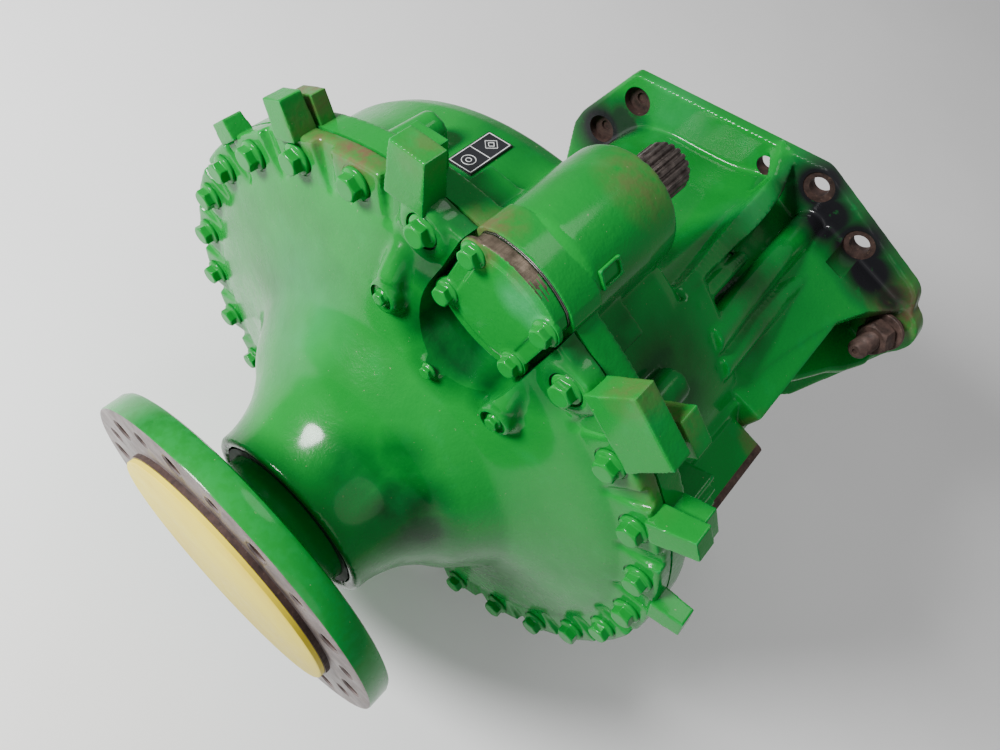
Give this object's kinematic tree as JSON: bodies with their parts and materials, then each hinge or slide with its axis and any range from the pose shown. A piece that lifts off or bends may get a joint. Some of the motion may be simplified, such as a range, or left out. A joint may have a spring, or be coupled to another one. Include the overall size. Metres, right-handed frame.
{
  "type": "final drive gearbox",
  "caption": "Parallel-shaft final drive: splined input pinion, bull gear, bolted dome cover with neck, wheel flange and rear mounting plate.",
  "frame": {"origin": "point where the output axis meets the back face of the mounting plate", "axes": "+Y along both shafts, out of the back of the mounting plate; the wheel flange is at the -Y end; +Z from the output axis to the input pinion axis; +X to the stud side"},
  "size_m": [0.686, 0.733, 0.7156],
  "materials": {
    "green_paint": "glossy green enamel over rough casting",
    "green_fasteners": "fasteners painted over in the same green",
    "hub_paint": "green enamel on the rim, bare brown-grey metal on the wheel face",
    "yellow_paint": "pale yellow satin paint",
    "label_black": "black plate with plain white symbols",
    "bearing_steel": "ground bearing steel",
    "seal_rubber": "matt black nitrile",
    "gasket_paper": "oil-soaked gasket paper",
    "rusty_steel": "brown rusty steel",
    "machined_steel": "machined steel"
  },
  "bodies": {
    "housing": {"cap_bolt_1": "green_fasteners", "cap_bolt_2": "green_fasteners", "cap_bolt_3": "green_fasteners", "cap_bolt_4": "green_fasteners", "cap_shim_pack": "machined_steel", "cover_bolt_01": "green_fasteners", "cover_bolt_02": "green_fasteners", "cover_bolt_03": "green_fasteners", "cover_bolt_04": "green_fasteners", "cover_bolt_05": "green_fasteners", "cover_bolt_06": "green_fasteners", "cover_bolt_07": "green_fasteners", "cover_bolt_08": "green_fasteners", "cover_bolt_09": "green_fasteners", "cover_bolt_10": "green_fasteners", "cover_bolt_11": "green_fasteners", "cover_bolt_12": "green_fasteners", "cover_bolt_13": "green_fasteners", "cover_bolt_14": "green_fasteners", "cover_bolt_15": "green_fasteners", "cover_bolt_16": "green_fasteners", "cover_bolt_17": "green_fasteners", "cover_bolt_18": "green_fasteners", "cover_bolt_19": "green_fasteners", "cover_bolt_20": "green_fasteners", "cover_bolt_21": "green_fasteners", "cover_bolt_22": "green_fasteners", "cover_bolt_23": "green_fasteners", "cover_bolt_24": "green_fasteners", "cover_bolt_25": "green_fasteners", "cover_gasket": "gasket_paper", "cover_plug_1": "green_fasteners", "cover_plug_2": "green_fasteners", "cover_plug_3": "green_fasteners", "dowel_1": "machined_steel", "dowel_2": "machined_steel", "front_cover": "green_paint", "gear_housing": "green_paint", "label_plate": "label_black", "mount_stud": "rusty_steel", "output_bearing_front_cup": "bearing_steel", "output_bearing_rear_cup": "bearing_steel", "output_seal": "seal_rubber", "pinion_bearing_front_cup": "bearing_steel", "pinion_bearing_rear_cup": "bearing_steel", "pinion_cap": "green_paint", "pinion_seal": "seal_rubber", "stud_nut": "rusty_steel", "stud_washer": "rusty_steel"},
    "output_hub": {"bull_gear": "machined_steel", "gear_spacer": "machined_steel", "output_bearing_front_cone": "bearing_steel", "output_bearing_rear_cone": "bearing_steel", "output_flange_shaft": "hub_paint", "output_locknut": "machined_steel", "pilot_disc": "yellow_paint"},
    "input_shaft": {"input_pinion": "machined_steel", "pinion_bearing_front_cone": "bearing_steel", "pinion_bearing_rear_cone": "bearing_steel"}
  },
  "joints": [
    {"name": "output_spin", "type": "hinge", "parent": "housing", "child": "output_hub", "pos_m": [0, -0.5, 0], "axis": [0, 1, 0], "continuous": true},
    {"name": "input_spin", "type": "hinge", "parent": "housing", "child": "input_shaft", "pos_m": [0, -0.4, 0.3045], "axis": [0, 1, 0], "continuous": true}
  ],
  "couplings": [
    {"joint": "input_spin", "follows": "output_spin", "ratio": -5.6923}
  ]
}
